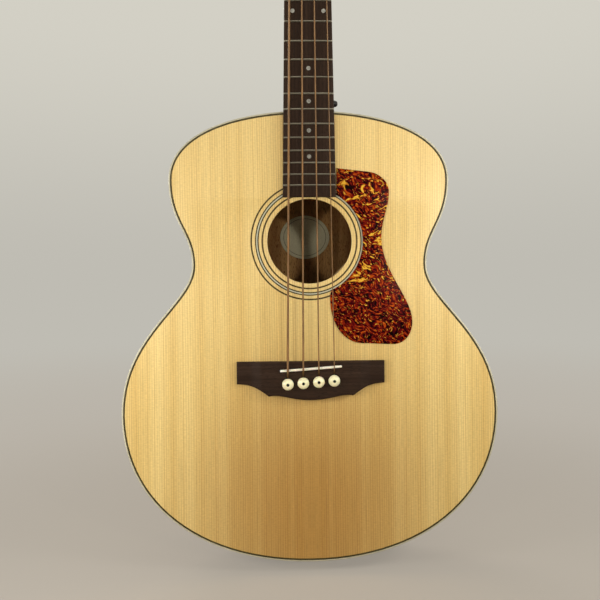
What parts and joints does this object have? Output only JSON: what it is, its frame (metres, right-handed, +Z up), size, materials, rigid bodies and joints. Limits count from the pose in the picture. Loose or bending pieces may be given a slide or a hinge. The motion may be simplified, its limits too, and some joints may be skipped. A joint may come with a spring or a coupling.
{
  "type": "acoustic bass guitar",
  "caption": "Acoustic bass guitar: a large hollow body with a round sound hole, pinned bridge and pickguard, a long fretted neck and geared tuners on a tilted headstock.",
  "frame": {"origin": "middle of the end pin's flat outer face, half way through the depth of the body at its tail", "axes": "+Z up the neck from the tail, -Y out of the soundboard towards the player's right hand, +X towards the treble side, which is the right in a view of the front"},
  "size_m": [0.4372, 0.1344, 1.2175],
  "materials": {
    "spruce_top": "gloss lacquer",
    "mahogany": "gloss lacquer",
    "rosewood": "oiled",
    "brace_spruce": "raw",
    "cedar": "raw",
    "maple": "raw",
    "ivory_plastic": "polished",
    "inlay_fibre": "satin",
    "tortoise_plastic": "polished",
    "paper": "matt",
    "bone": "satin",
    "bronze": "wound wire",
    "steel": "plain",
    "chrome": "plated",
    "black_plastic": "polished",
    "brass": "turned"
  },
  "bodies": {
    "body": {"soundboard": "spruce_top", "back_plate": "mahogany", "side_bass": "mahogany", "side_treble": "mahogany", "front_lining_bass": "cedar", "front_lining_treble": "cedar", "back_lining_bass": "cedar", "back_lining_treble": "cedar", "x_brace_bass": "brace_spruce", "x_brace_treble": "brace_spruce", "upper_brace": "brace_spruce", "tone_bar": "brace_spruce", "bridge_plate": "maple", "tail_wedge": "ivory_plastic", "front_binding": "ivory_plastic", "back_binding": "ivory_plastic", "front_purfling": "inlay_fibre", "neck_block": "cedar", "tail_block": "cedar", "rosette_inner": "inlay_fibre", "rosette_middle": "inlay_fibre", "rosette_outer": "inlay_fibre", "pickguard": "tortoise_plastic", "label": "paper", "end_pin": "black_plastic", "heel_strap_button": "black_plastic", "bridge": "rosewood", "saddle": "bone", "neck": "mahogany", "heel_cap": "ivory_plastic", "fingerboard": "rosewood", "nut": "bone", "truss_rod": "steel", "head_veneer": "rosewood", "truss_rod_cover": "black_plastic", "string_e": "bronze", "string_a": "bronze", "string_d": "bronze", "string_g": "bronze", "tuner_plate_e": "chrome", "tuner_ferrule_e": "chrome", "tuner_plate_a": "chrome", "tuner_ferrule_a": "chrome", "tuner_plate_d": "chrome", "tuner_ferrule_d": "chrome", "tuner_plate_g": "chrome", "tuner_ferrule_g": "chrome"},
    "rod_nut": {"truss_rod_nut": "brass"},
    "key_e": {"tuner_key_e": "chrome"},
    "post_e": {"tuner_post_e": "chrome"},
    "pin_e": {"bridge_pin_e": "ivory_plastic"},
    "key_a": {"tuner_key_a": "chrome"},
    "post_a": {"tuner_post_a": "chrome"},
    "pin_a": {"bridge_pin_a": "ivory_plastic"},
    "key_d": {"tuner_key_d": "chrome"},
    "post_d": {"tuner_post_d": "chrome"},
    "pin_d": {"bridge_pin_d": "ivory_plastic"},
    "key_g": {"tuner_key_g": "chrome"},
    "post_g": {"tuner_post_g": "chrome"},
    "pin_g": {"bridge_pin_g": "ivory_plastic"}
  },
  "joints": [
    {"name": "key_turn_e", "type": "hinge", "parent": "body", "child": "key_e", "pos_m": [-0.024, -0.02718, 1.06316], "axis": [1, 0, 0], "continuous": true},
    {"name": "post_turn_e", "type": "hinge", "parent": "body", "child": "post_e", "pos_m": [-0.024, -0.0456, 1.08036], "axis": [0, -0.9781, 0.2079], "continuous": true, "deforming": ["string_e"]},
    {"name": "pin_pull_e", "type": "slide", "parent": "body", "child": "pin_e", "axis": [0, -1, 0], "range_m": [0, 0.03]},
    {"name": "key_turn_a", "type": "hinge", "parent": "body", "child": "key_a", "pos_m": [-0.024, -0.01096, 1.13945], "axis": [1, 0, 0], "continuous": true},
    {"name": "post_turn_a", "type": "hinge", "parent": "body", "child": "post_a", "pos_m": [-0.024, -0.02939, 1.15666], "axis": [0, -0.9781, 0.2079], "continuous": true, "deforming": ["string_a"]},
    {"name": "pin_pull_a", "type": "slide", "parent": "body", "child": "pin_a", "axis": [0, -1, 0], "range_m": [0, 0.03]},
    {"name": "key_turn_d", "type": "hinge", "parent": "body", "child": "key_d", "pos_m": [0.024, -0.01096, 1.13945], "axis": [1, 0, 0], "continuous": true},
    {"name": "post_turn_d", "type": "hinge", "parent": "body", "child": "post_d", "pos_m": [0.024, -0.02939, 1.15666], "axis": [0, -0.9781, 0.2079], "continuous": true, "deforming": ["string_d"]},
    {"name": "pin_pull_d", "type": "slide", "parent": "body", "child": "pin_d", "axis": [0, -1, 0], "range_m": [0, 0.03]},
    {"name": "key_turn_g", "type": "hinge", "parent": "body", "child": "key_g", "pos_m": [0.024, -0.02718, 1.06316], "axis": [1, 0, 0], "continuous": true},
    {"name": "post_turn_g", "type": "hinge", "parent": "body", "child": "post_g", "pos_m": [0.024, -0.0456, 1.08036], "axis": [0, -0.9781, 0.2079], "continuous": true, "deforming": ["string_g"]},
    {"name": "pin_pull_g", "type": "slide", "parent": "body", "child": "pin_g", "axis": [0, -1, 0], "range_m": [0, 0.03]},
    {"name": "rod_nut_turn", "type": "hinge", "parent": "body", "child": "rod_nut", "pos_m": [0, -0.049, 1.04046], "axis": [0, 0, 1], "range_deg": [-360, 360]}
  ],
  "couplings": [
    {"joint": "post_turn_e", "follows": "key_turn_e", "ratio": -0.05},
    {"joint": "post_turn_a", "follows": "key_turn_a", "ratio": -0.05},
    {"joint": "post_turn_d", "follows": "key_turn_d", "ratio": -0.05},
    {"joint": "post_turn_g", "follows": "key_turn_g", "ratio": -0.05}
  ]
}
